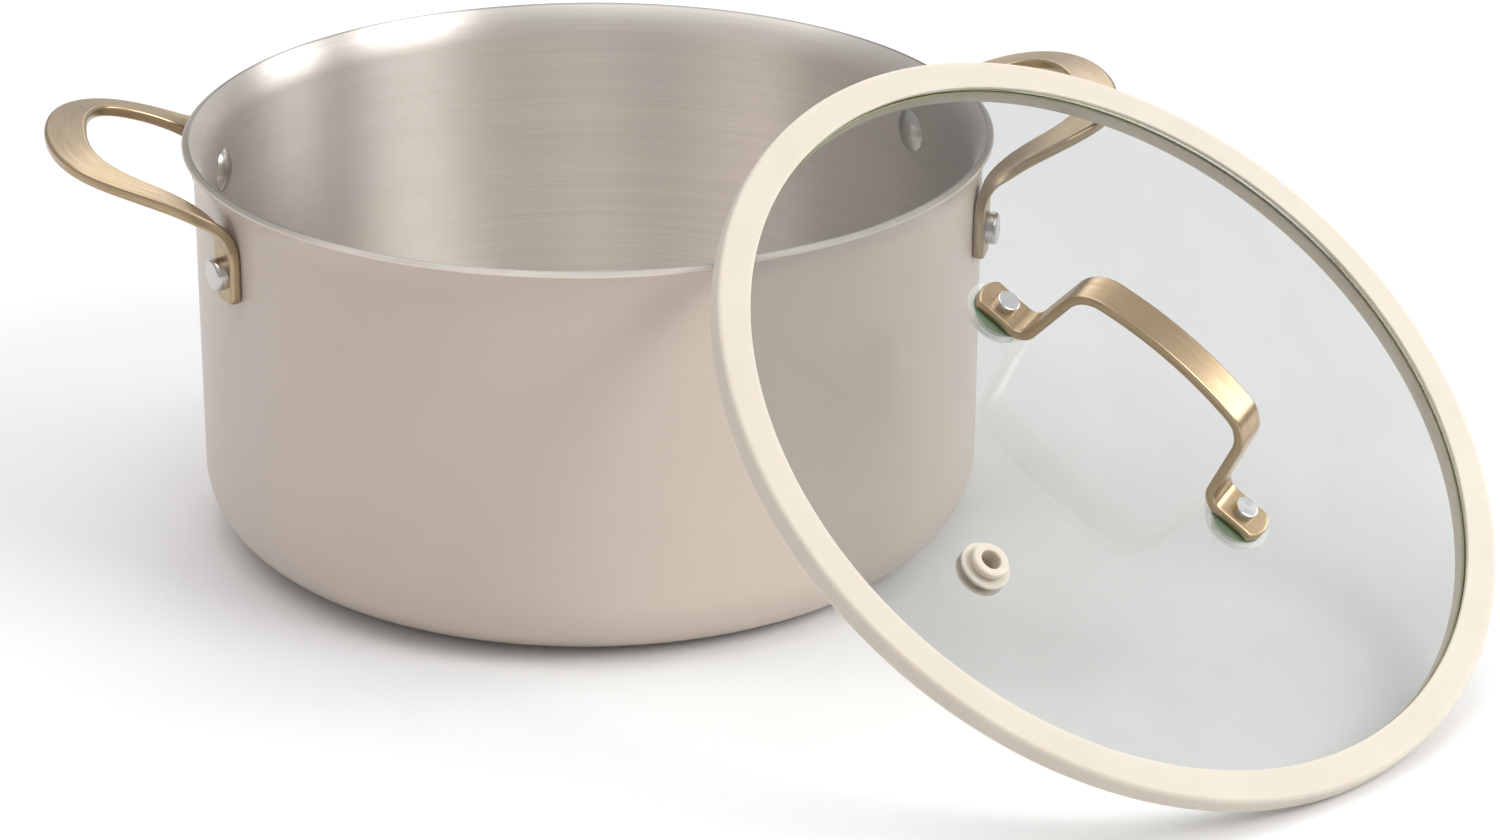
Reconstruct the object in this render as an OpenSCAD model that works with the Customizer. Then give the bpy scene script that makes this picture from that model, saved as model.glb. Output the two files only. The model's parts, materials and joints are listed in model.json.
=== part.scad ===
// Two-handled casserole with a flat glass lid. The lid leans on the right handle.
// Origin: centre of the base, on the surface it stands on. Handles lie along X. Millimetres.

/* [Pot] */
// Inside diameter of the wall, the pot's nominal size
bore_d = 240; // [210:1:280]
// Height from the base to the rim
pot_h = 129; // [120:1:150]
// Outside radius of the corner between wall and base
base_r = 22.5; // [12:0.5:30]
// How far the rim flares out past the wall
rim_out = 3.4; // [2:0.1:4.5]
// Radius of the flare's outer face
flare_r = 16; // [12:0.5:20]
// Thickness of the cream-coated outer skin
skin_t = 0.7; // [0.5:0.05:1]
// Thickness of the aluminium core
core_t = 1.3; // [1:0.1:2]
// Thickness of the stainless liner
liner_t = 0.6; // [0.4:0.05:0.8]

/* [Pot handles] */
// Thickness of the handle bar
bar_t = 3.5; // [2.5:0.1:4]
// Width of the bar at its feet
foot_w = 11.6; // [10:0.1:13]
// Width of the bar along its legs
leg_w = 10.6; // [9:0.1:12]
// Width of the bar at its outer end
tip_w = 13; // [11:0.1:15]
// Angle between the handle's axis and each foot
foot_angle = 22; // [20:0.5:24]
// Reach of the bar's centre line from the wall's outside
reach = 38.4; // [34:0.1:44]
// Height of the foot's lower end
foot_z = 95.5; // [92:0.5:98]
// Height at which the bar leaves the wall
leave_z = 109; // [107:0.5:110]
// Height of the bar's centre line at its outer end
tip_z = 134.8; // [133:0.1:135]

/* [Rivets] */
// Height of the rivets
rivet_z = 104.5; // [103:0.5:105]
// Diameter of the rivet's shank
rivet_d = 6; // [4:0.5:7]
// Diameter of the head inside the pot
rivet_in_d = 14; // [12:0.5:16]
// Diameter of the head on the handle's foot
rivet_out_d = 10; // [8:0.5:11]

/* [Lid] */
// How far the silicone ring reaches past the pot's rim
lid_over = 2; // [1:0.1:4]
// Width of the ring's flat top band
band_w = 10; // [8:0.1:12]
// Height of the ring's outer wall
ring_h = 6.8; // [6.4:0.1:8]
// Depth of the ring's skirt below its top band
skirt_h = 9.8; // [9:0.1:9.8]
// Thickness of the skirt
skirt_t = 2.2; // [1.5:0.1:3]
// Thickness of the glass
glass_t = 4; // [3:0.1:4.5]
// Depth of the glass's top face below the ring's top band
glass_drop = 1.2; // [0.8:0.1:1.6]

/* [Lid handle] */
// Distance between the two studs
stud_gap = 91; // [84:1:100]
// Height of the strap's top above its feet's underside
strap_h = 36; // [32:0.5:44]
// Width of the strap
strap_w = 12; // [10:0.5:14]
// Thickness of the strap
strap_t = 3; // [2.5:0.1:3.5]
// Distance of the steam vent from the lid's centre
vent_r = 81.5; // [70:0.5:90]
// Diameter of the steam hole
vent_d = 6; // [5:0.5:7]

/* [Leaning lid] */
// Angle between the lid and the floor
lid_tilt = 37.85; // [37.5:0.05:38.5]
// Compass angle of the slope, counted from +X
lid_azimuth = -56.7; // [-57.5:0.1:-56]
// Sideways distance of the lid's centre from the slope line through the pot's axis
lid_side = 34.4; // [33:0.1:36]
// Distance from the rim to the plane of the ring's top band
lid_lift = 8.5; // [8.4:0.1:9.5]
// Angle of the lid's handle about the lid's own axis
lid_spin = 20; // [0:1:45]

/* [Hidden] */

$fn = 144;

// Pot
wall_t = skin_t + core_t + liner_t;
pot_r = bore_d / 2 + wall_t;
rim_r = pot_r + rim_out;
flare_angle = acos(1 - rim_out / flare_r);
flare_z = round(100 * (pot_h - (flare_r + wall_t) * sin(flare_angle))) / 100;
rim_edge_z = flare_z + flare_r * sin(flare_angle);

// Pot handles: the bar's centre line runs up the foot, over a bend and out to the tip
foot_x = (pot_r + bar_t / 2) * cos(foot_angle);
foot_y = (pot_r + bar_t / 2) * sin(foot_angle);
foot_low = [foot_x, foot_y, foot_z];
foot_top = [foot_x, foot_y, leave_z];
bend_rise = 12.5;
bend_end = foot_top + [9.2, -5.2, bend_rise];
leg_rise = 29.4;
leg_turn = -18.8;
leg_dir = [cos(leg_rise) * cos(leg_turn), cos(leg_rise) * sin(leg_turn), sin(leg_rise)];
tip = [pot_r + reach, 0, tip_z];
bend_in = 7;
bend_out = 7.4;
leg_out = 15.7;
tip_in = 40.5;
foot_steps = 4;
bend_steps = 10;
leg_steps = 22;
bar_edge = 1;
foot_corner = 2.2;

// Rivets
rivet_in_h = 2.2;
rivet_out_h = 3.4;
rivet_edge = 1.2;
rivet_seat_r = sqrt(pow(bore_d / 2, 2) - pow(rivet_in_d / 2, 2));
foot_face_r = pot_r + bar_t;

// Lid
lid_r = rim_r + lid_over;
band_r = lid_r - band_w;
glass_r = band_r + 4.5;
glass_low = glass_drop + glass_t;
skirt_r = band_r + skirt_t;
ring_edge = 1.4;
skirt_edge = 0.6;

// Lid handle and its fixings
stud_x = stud_gap / 2;
stud_d = 5;
stud_head_d = 7;
stud_head_h = 2.5;
stud_foot_d = 12;
stud_foot_h = 1.8;
bush_d = 9;
washer_d = 21;
pad_d = 17;
pad_t = 0.9;
under_d = 17;
under_t = 1;
strap_edge = 0.7;
strap_inset = 11.5;
strap_lean = 8;
strap_foot_bend = 5.5;
strap_shoulder = 10;
strap_crown = 2.4;
strap_end_r = 8.5;
bend_points = 8;
crown_points = 16;

// Vent grommet
vent_top_d = 11;
vent_neck_d = 9;
vent_flange_d = 15;
vent_flange_h = 1.2;
vent_top_h = 2;
vent_rise = 4.4;
vent_edge = 0.5;

// Lean: the ring's lower edge stands on the floor, its skirt stays just clear of the handle
lid_z = lid_r * sin(lid_tilt) + ring_h * cos(lid_tilt);
lean_top = cos(lid_tilt) * (rim_edge_z - lid_z) + lid_lift;
lean_out = rim_r + lean_top / sin(lid_tilt);
lid_x = lean_out * cos(lid_azimuth) - lid_side * sin(lid_azimuth);
lid_y = lean_out * sin(lid_azimuth) + lid_side * cos(lid_azimuth);

cream = [0.93, 0.89, 0.83];
gold = [0.78, 0.68, 0.52];
steel = [0.72, 0.72, 0.73];
aluminium = [0.8, 0.81, 0.83];
clear = [0.85, 0.92, 0.88, 0.4];
pad_green = [0.27, 0.36, 0.27];

// ---- helpers ----

// Point on a cubic curve through a, towards b and c, to d
function cubic(a, b, c, d, t) =
    pow(1 - t, 3) * a + 3 * pow(1 - t, 2) * t * b + 3 * (1 - t) * t * t * c + pow(t, 3) * d;

function unit(v) = v / norm(v);

function smooth(t) = let (u = min(1, max(0, t))) u * u * (3 - 2 * u);

// Points of an arc about centre c from angle a0 to a1
function arc(c, r, a0, a1, n) =
    [for (i = [0:n]) let (a = a0 + (a1 - a0) * i / n) c + r * [cos(a), sin(a)]];

// The region between a square corner and the circle that rounds it, for the +X +Y corner
module corner_cut(x, y, e) {
    translate([x - e, y - e])
    difference() {
        square([2 * e, 2 * e]);
        circle(r = e);
    }
}

// ---- pot ----

// Cross-section of the pot between two depths below its outside
module pot_section(o1, o2) {
    translate([0, o1])
    square([pot_r - base_r, o2 - o1]);
    translate([pot_r - base_r, base_r])
    intersection() {
        difference() {
            circle(r = base_r - o1);
            circle(r = base_r - o2);
        }
        translate([0, -base_r])
        square(base_r);
    }
    translate([pot_r - o2, base_r])
    square([o2 - o1, flare_z - base_r]);
    translate([pot_r + flare_r, flare_z])
    intersection() {
        difference() {
            circle(r = flare_r + o2);
            circle(r = flare_r + o1);
        }
        polygon([[0, 0], [-2 * flare_r, 0], [-2 * flare_r, 2 * flare_r * tan(flare_angle)]]);
    }
}

// The shanks of all four rivets, through the wall and the handles' feet
module rivet_holes() {
    for (side = [0, 180], a = [-foot_angle, foot_angle])
        rotate(side + a)
        translate([bore_d / 2 - 5, 0, rivet_z])
        rotate([0, 90, 0])
        cylinder(d = rivet_d, h = 20);
}

module pot_layer(o1, o2) {
    difference() {
        rotate_extrude($fn = 180)
        pot_section(o1, o2);
        rivet_holes();
    }
}

module outer_shell() {
    color(cream)
    pot_layer(0, skin_t);
}

module aluminium_core() {
    color(aluminium)
    pot_layer(skin_t, skin_t + core_t);
}

module inner_liner() {
    color(steel)
    pot_layer(skin_t + core_t, wall_t);
}

// ---- pot handles ----

// Centre line of half a handle, from the foot's lower end to the tip
half_line = concat(
    [for (i = [0:foot_steps - 1]) foot_low + (foot_top - foot_low) * i / foot_steps],
    [for (i = [0:bend_steps - 1]) cubic(
        foot_top, foot_top + [0, 0, bend_in], bend_end - bend_out * leg_dir, bend_end, i / bend_steps)],
    [for (i = [0:leg_steps]) cubic(
        bend_end, bend_end + leg_out * leg_dir, tip + [0, tip_in, 0], tip, i / leg_steps)]
);
half_count = len(half_line);
foot_end = foot_steps;
bend_last = foot_steps + bend_steps;

function along(i) = unit(half_line[min(i + 1, half_count - 1)] - half_line[max(i - 1, 0)]);

// Direction of the bar's width: along the wall at the foot, square to the path beyond it
function path_angle(i) = let (t = along(i)) atan2(t.y, t.x);
function width_angle(i) =
    let (f = smooth((i - foot_end - 0.5 * bend_steps) / (1.2 * bend_steps)))
    i <= foot_end ? 90 + foot_angle
    : (90 + foot_angle) * (1 - f) + (90 + path_angle(i)) * f;

// Width of the bar: narrower along the leg than at the foot and the tip
function bar_width(i) =
    let (q = max(0, (i - foot_end) / (half_count - 1 - foot_end)))
    foot_w * (1 - q) * (1 - 2 * q) + 4 * leg_w * q * (1 - q) + tip_w * q * (2 * q - 1);

// Rounded-rectangle section of the bar, as [width, thickness] offsets
function bar_ring(w, t, e) = concat(
    arc([w / 2 - e, t / 2 - e], e, 0, 90, 2),
    arc([e - w / 2, t / 2 - e], e, 90, 180, 2),
    arc([e - w / 2, e - t / 2], e, 180, 270, 2),
    arc([w / 2 - e, e - t / 2], e, 270, 360, 2)
);

// Section number i of the half handle, placed on the centre line. The foot's end narrows.
function half_section(i) =
    let (t = i == half_count - 1 ? [0, -1, 0] : along(i))
    let (a = i == half_count - 1 ? 0 : width_angle(i))
    let (w0 = [cos(a), sin(a), 0])
    let (w = unit(w0 - (w0 * t) * t))
    let (n = cross(w, t))
    let (narrow = i == 0 ? 2 * foot_corner : 0)
    [for (p = bar_ring(bar_width(i) - narrow, bar_t, bar_edge)) half_line[i] + p.x * w + p.y * n];

function mirrored(s) = [for (p = s) [p.x, -p.y, p.z]];

// The foot's tapered end is one short step of its own
foot_step_h = (leave_z - foot_z) / foot_steps;
half_sections = concat(
    [half_section(0)],
    [[for (p = half_section(1)) p - [0, 0, foot_step_h - foot_corner]]],
    [for (i = [1:half_count - 1]) half_section(i)]
);
half_n = len(half_sections);
all_sections = concat(
    half_sections,
    [for (i = [half_n - 2:-1:0]) mirrored(half_sections[i])]
);

// Skin a list of equal-length closed sections
module skin_sections(sections) {
    m = len(sections[0]);
    n = len(sections);
    points = [for (s = sections, p = s) p];
    sides = [for (j = [0:n - 2], k = [0:m - 1], half = [0, 1])
        let (a = j * m + k, b = j * m + (k + 1) % m)
        half == 0 ? [a, b, b + m] : [a, b + m, a + m]];
    first = [[for (k = [m - 1:-1:0]) k]];
    last = [[for (k = [0:m - 1]) (n - 1) * m + k]];
    polyhedron(points, concat(sides, first, last), convexity = 6);
}

module pot_handle() {
    difference() {
        skin_sections(all_sections);
        rivet_holes();
    }
}

module handle_right() {
    color(gold)
    pot_handle();
}

module handle_left() {
    color(gold)
    rotate(180)
    pot_handle();
}

// ---- rivets ----

// A rivet along +X: low dome inside the pot, shank, rounded head on the foot
module rivet() {
    dome_r = (pow(rivet_in_d / 2, 2) + pow(rivet_in_h, 2)) / (2 * rivet_in_h);
    rotate([0, 90, 0]) {
        rotate_extrude()
        intersection() {
            translate([0, rivet_seat_r - rivet_in_h + dome_r])
            circle(r = dome_r);
            translate([0, rivet_seat_r - rivet_in_h])
            square([rivet_in_d / 2, rivet_in_h]);
        }
        translate([0, 0, rivet_seat_r])
        cylinder(d = rivet_d, h = foot_face_r - rivet_seat_r);
        translate([0, 0, foot_face_r])
        rotate_extrude()
        difference() {
            square([rivet_out_d / 2, rivet_out_h]);
            corner_cut(rivet_out_d / 2, rivet_out_h, rivet_edge);
        }
    }
}

module place_rivet(angle) {
    color(steel)
    rotate(angle)
    translate([0, 0, rivet_z])
    rivet();
}

// ---- lid: modelled flat, top band at z = 0, handle along X, then leaned ----

module lean() {
    translate([lid_x, lid_y, lid_z])
    rotate([0, lid_tilt, lid_azimuth])
    rotate(lid_spin)
    children();
}

// A ring or disc between two heights
module disc(d, low, high) {
    translate([0, 0, low])
    cylinder(d = d, h = high - low);
}

module lid_glass() {
    color(clear)
    lean()
    difference() {
        translate([0, 0, -glass_low])
        cylinder(r = glass_r, h = glass_t, $fn = 180);
        for (x = [-stud_x, stud_x])
            translate([x, 0, 0])
            disc(bush_d, -glass_low - 1, 1);
        translate([0, -vent_r, 0])
        disc(vent_neck_d, -glass_low - 1, 1);
    }
}

module rim_section() {
    difference() {
        union() {
            translate([band_r, -ring_h])
            square([band_w, ring_h]);
            translate([band_r, -skirt_h])
            square([skirt_t, skirt_h]);
        }
        translate([0, -glass_low])
        square([glass_r, glass_t]);
        corner_cut(lid_r, 0, ring_edge);
        translate([0, -ring_h])
        mirror([0, 1])
        corner_cut(lid_r, 0, ring_edge);
        translate([0, -skirt_h])
        mirror([0, 1])
        corner_cut(skirt_r, 0, skirt_edge);
    }
}

module lid_rim() {
    color(cream)
    lean()
    rotate_extrude($fn = 180)
    rim_section();
}

// Side view of the strap's centre line over +X, from the middle of the arch to the foot's end.
// The legs lean outward a little on their way down.
strap_mid = strap_t / 2;
arch_top = strap_h - strap_mid;
arch_end_x = stud_x - strap_inset - strap_shoulder;
arch_r = (pow(arch_end_x, 2) + pow(strap_crown, 2)) / (2 * strap_crown);
arch_a = asin(arch_end_x / arch_r);
shoulder_z = arch_top - strap_crown - strap_shoulder * cos(arch_a);
shoulder_x = arch_end_x - strap_shoulder * sin(arch_a);
leg_drop = shoulder_z + strap_shoulder * sin(strap_lean)
    - strap_mid - strap_foot_bend * (1 - sin(strap_lean));
foot_bend_x = shoulder_x + (strap_shoulder + strap_foot_bend) * cos(strap_lean)
    + leg_drop * tan(strap_lean);
strap_half = concat(
    arc([0, arch_top - arch_r], arch_r, 90, 90 - arch_a, crown_points),
    arc([shoulder_x, shoulder_z], strap_shoulder, 90 - arch_a - 8, strap_lean, bend_points),
    arc([foot_bend_x, strap_mid + strap_foot_bend], strap_foot_bend, 180 + strap_lean, 270, bend_points),
    [[stud_x - 2, strap_mid], [stud_x + strap_end_r, strap_mid]]
);
strap_line = concat(
    [for (i = [len(strap_half) - 1:-1:1]) [-strap_half[i].x, strap_half[i].y]],
    strap_half
);

function strap_dir(i) =
    unit(strap_line[min(i + 1, len(strap_line) - 1)] - strap_line[max(i - 1, 0)]);

// The strap as a flat band, edges bevelled
strap_sections = [for (i = [0:len(strap_line) - 1])
    let (t = strap_dir(i))
    let (n = [-t.y, 0, t.x])
    [for (p = bar_ring(strap_w, strap_t, strap_edge))
        [strap_line[i].x, 0, strap_line[i].y] + p.x * [0, 1, 0] + p.y * n]];

module lid_handle() {
    color(gold)
    lean()
    difference() {
        skin_sections(strap_sections);
        for (side = [0, 180])
            rotate(side) {
                translate([stud_x, 0, -1])
                difference() {
                    translate([0, -strap_w, 0])
                    cube([2 * strap_w, 2 * strap_w, strap_t + 2]);
                    cylinder(r = strap_end_r, h = strap_t + 2);
                }
                translate([stud_x, 0, -1])
                cylinder(d = stud_d, h = strap_t + 2);
            }
    }
}

// Stud: flat-topped pin above the foot, shank, broad head under the glass
module lid_stud(side) {
    color(steel)
    lean()
    translate([side * stud_x, 0, 0]) {
        disc(stud_foot_d, -glass_low - under_t - stud_foot_h, -glass_low - under_t);
        disc(stud_d, -glass_low - under_t, strap_t);
        disc(stud_head_d, strap_t, strap_t + stud_head_h);
    }
}

// Clear washer: a shallow cup that holds the green pad
module clear_washer(side) {
    color(clear)
    lean()
    translate([side * stud_x, 0, 0])
    difference() {
        disc(washer_d, -glass_drop, -0.2);
        disc(pad_d, -pad_t, 1);
        disc(stud_d, -glass_low, 1);
    }
}

module green_pad(side) {
    color(pad_green)
    lean()
    translate([side * stud_x, 0, 0])
    difference() {
        disc(pad_d, -pad_t, 0);
        disc(stud_d, -glass_low, 1);
    }
}

module hole_bush(side) {
    color(clear)
    lean()
    translate([side * stud_x, 0, 0])
    difference() {
        disc(bush_d, -glass_low, -glass_drop);
        disc(stud_d, -glass_low - 1, 1);
    }
}

module under_washer(side) {
    color(clear)
    lean()
    translate([side * stud_x, 0, 0])
    difference() {
        disc(under_d, -glass_low - under_t, -glass_low);
        disc(stud_d, -glass_low - 2 * under_t, 1);
    }
}

// Vent grommet: collar, neck and flange above the glass, a flange below it
module vent_grommet() {
    top = vent_rise - glass_drop;
    color(cream)
    lean()
    translate([0, -vent_r, 0])
    rotate_extrude()
    difference() {
        union() {
            translate([0, top - vent_top_h])
            square([vent_top_d / 2, vent_top_h]);
            translate([0, -glass_low - vent_flange_h])
            square([vent_neck_d / 2, top + glass_low]);
            translate([0, -glass_drop])
            square([vent_flange_d / 2, vent_flange_h]);
            translate([0, -glass_low - vent_flange_h])
            square([vent_flange_d / 2, vent_flange_h]);
        }
        translate([0, -glass_low - 2 * vent_flange_h])
        square([vent_d / 2, glass_low + top + 4 * vent_flange_h]);
        corner_cut(vent_top_d / 2, top, vent_edge);
        corner_cut(vent_flange_d / 2, vent_flange_h - glass_drop, vent_edge);
    }
}

// ---- the nodes ----

outer_shell();
aluminium_core();
inner_liner();
handle_left();
handle_right();
place_rivet(-foot_angle);  // rivet_right_front
place_rivet(foot_angle);  // rivet_right_rear
place_rivet(180 - foot_angle);  // rivet_left_rear
place_rivet(180 + foot_angle);  // rivet_left_front
lid_glass();
lid_rim();
lid_handle();
lid_stud(-1);  // lid_stud_left
lid_stud(1);  // lid_stud_right
clear_washer(-1);  // clear_washer_left
clear_washer(1);  // clear_washer_right
green_pad(-1);  // green_pad_left
green_pad(1);  // green_pad_right
hole_bush(-1);  // hole_bush_left
hole_bush(1);  // hole_bush_right
under_washer(-1);  // under_washer_left
under_washer(1);  // under_washer_right
vent_grommet();
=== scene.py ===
import json
import math

import bpy
import numpy as np
from mathutils import Matrix, Vector


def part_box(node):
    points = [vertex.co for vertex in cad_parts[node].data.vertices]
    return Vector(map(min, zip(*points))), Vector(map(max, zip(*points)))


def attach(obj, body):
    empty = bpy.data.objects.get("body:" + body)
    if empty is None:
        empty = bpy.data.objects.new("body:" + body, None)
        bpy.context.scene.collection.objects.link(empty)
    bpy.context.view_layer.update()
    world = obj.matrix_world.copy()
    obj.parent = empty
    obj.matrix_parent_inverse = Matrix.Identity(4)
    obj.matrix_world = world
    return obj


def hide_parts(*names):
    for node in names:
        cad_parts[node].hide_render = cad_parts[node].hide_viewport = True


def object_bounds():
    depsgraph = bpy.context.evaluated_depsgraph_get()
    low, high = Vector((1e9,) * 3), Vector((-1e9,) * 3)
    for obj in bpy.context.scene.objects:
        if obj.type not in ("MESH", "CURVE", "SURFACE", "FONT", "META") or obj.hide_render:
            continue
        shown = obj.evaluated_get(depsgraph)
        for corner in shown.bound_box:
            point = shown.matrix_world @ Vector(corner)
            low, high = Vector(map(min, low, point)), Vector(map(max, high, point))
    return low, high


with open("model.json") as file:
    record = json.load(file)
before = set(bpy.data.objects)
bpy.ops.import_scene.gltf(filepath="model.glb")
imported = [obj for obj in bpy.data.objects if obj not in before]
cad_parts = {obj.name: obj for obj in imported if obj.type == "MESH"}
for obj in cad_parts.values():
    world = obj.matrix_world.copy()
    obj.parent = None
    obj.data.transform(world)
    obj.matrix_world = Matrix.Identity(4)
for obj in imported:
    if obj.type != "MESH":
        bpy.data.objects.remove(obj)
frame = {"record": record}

CAD_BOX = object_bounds()
RECORD = frame["record"]
MM = 0.001

# ---------------------------------------------------------------------------
# Sizes that repeat part.scad's, in metres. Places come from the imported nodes.
# ---------------------------------------------------------------------------

# The pot's wall: three layers, straight above a rounded base, flared at the rim
SKIN, CORE, LINER = 0.7 * MM, 1.3 * MM, 0.6 * MM
WALL = SKIN + CORE + LINER
POT_R = 122.6 * MM
BASE_R = 22.5 * MM
RIM_OUT = 3.4 * MM
FLARE_R = 16 * MM

# The pot's handles: stock thickness, widths, and the points and pulls of their centre line
BAR_T = 3.5 * MM
FOOT_W, LEG_W, TIP_W = 11.6 * MM, 10.6 * MM, 13 * MM
FOOT_ANGLE = math.radians(22)
FOOT_Z, LEAVE_Z = 95.5 * MM, 109 * MM
REACH, TIP_Z = 38.4 * MM, 134.8 * MM
BEND = Vector((9.2, -5.2, 12.5)) * MM
LEG_RISE, LEG_TURN = math.radians(29.4), math.radians(-18.8)
BEND_IN, BEND_OUT, LEG_OUT, TIP_IN = 7 * MM, 7.4 * MM, 15.7 * MM, 40.5 * MM

# Rivets: shank, domed head inside the pot, flat head outside
RIVET_D, RIVET_IN_D, RIVET_IN_H = 6 * MM, 14 * MM, 2.2 * MM
RIVET_OUT_D, RIVET_OUT_H, RIVET_OUT_EDGE = 10 * MM, 3.4 * MM, 1.2 * MM

# The lid's ring and pane
LID_R, BAND_W, RING_H, SKIRT_H, SKIRT_T = 128 * MM, 10 * MM, 6.8 * MM, 9.8 * MM, 2.2 * MM
BAND_R = LID_R - BAND_W
GLASS_T, GLASS_DROP = 4 * MM, 1.2 * MM
GLASS_LOW = GLASS_DROP + GLASS_T

# Studs, washers, pads and sleeves in the glass's two handle holes
STUD_D, STUD_HEAD_D, STUD_HEAD_H = 5 * MM, 7 * MM, 2.5 * MM
STUD_FOOT_D, STUD_FOOT_H = 12 * MM, 1.8 * MM
BUSH_D, WASHER_D, PAD_D, PAD_T = 9 * MM, 21 * MM, 17 * MM, 0.9 * MM
UNDER_D, UNDER_T = 17 * MM, 1 * MM

# The lid's strap handle
STRAP_W, STRAP_T, STRAP_H = 12 * MM, 3 * MM, 36 * MM
STRAP_INSET, STRAP_BEND, SHOULDER, CROWN = 11.5 * MM, 5.5 * MM, 10 * MM, 2.4 * MM
STRAP_LEAN_DEG, STRAP_END_R = 8, 8.5 * MM

# The steam vent
VENT_D, VENT_TOP_D, VENT_NECK_D, VENT_FLANGE_D = 6 * MM, 11 * MM, 9 * MM, 15 * MM
VENT_RISE, VENT_TOP_H, VENT_FLANGE_H = 4.4 * MM, 2 * MM, 1.2 * MM

# ---------------------------------------------------------------------------
# Sizes that only the looks need
# ---------------------------------------------------------------------------

# The pane goes this far into the ring. It is less than in part.scad, where the groove is
# deeper: a deep one shows through the glass as a dark band.
GRIP = 0.7 * MM
PANE_R = BAND_R + GRIP
# The green of the pane's cut edge starts here and is full a little further out
PANE_TINT_R, PANE_TINT_FADE = BAND_R - 0.4 * MM, 0.3 * MM
# Gap that keeps faces which touch from showing through each other
SEAT = 0.02 * MM
# Radii of eased edges: the wall's cut rim, the handles' and the strap's bar stock
RIM_EASE, HANDLE_EDGE, HANDLE_CORNER, STRAP_EDGE = 0.25 * MM, 1.0 * MM, 3.2 * MM, 0.7 * MM
# The liner's colour is darkened over the last part of its height: painted shade, standing for the
# darker reflection of the pot's lip
LIP_SHADE_H, LIP_SHADE_FADE, LIP_PAINTED_SHADE = 0.7 * MM, 0.5 * MM, 0.42
# Faces that meet at more than this are shaded with a sharp edge
SHARP = math.radians(38)
# Steps round a turned piece, by its size
POT_SEGMENTS, RING_SEGMENTS, PANE_SEGMENTS, WASHER_SEGMENTS, PIN_SEGMENTS = 288, 320, 256, 96, 64


def box_mid(node):
    low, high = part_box(node)
    return (low + high) / 2


POT_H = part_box("inner_liner")[1].z
FLARE_A = math.acos(1 - RIM_OUT / FLARE_R)
# Rounded to a hundredth of a millimetre
FLARE_Z = round((POT_H - (FLARE_R + WALL) * math.sin(FLARE_A)) * 1e5) * 1e-5

# The lid's own frame: Z out of the glass, X along the strap handle, origin level with the
# ring's top, so everything in the lid is placed flat and the matrix leans it on the pot
LID_N = Vector(next(m for m in RECORD["mounts"] if m["name"] == "vent")["axis"]).normalized()
LID_X = box_mid("lid_stud_right") - box_mid("lid_stud_left")
STUD_X = LID_X.length / 2
LID_X = (LID_X - LID_X.dot(LID_N) * LID_N).normalized()
LID_Y = LID_N.cross(LID_X)
LID_C = box_mid("lid_glass") + LID_N * (GLASS_DROP + GLASS_T / 2)
LID = Matrix.Translation(LID_C) @ Matrix((LID_X, LID_Y, LID_N)).transposed().to_4x4()
VENT_XY = LID.inverted() @ box_mid("vent_grommet")


# ---------------------------------------------------------------------------
# Node helpers
# ---------------------------------------------------------------------------

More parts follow.
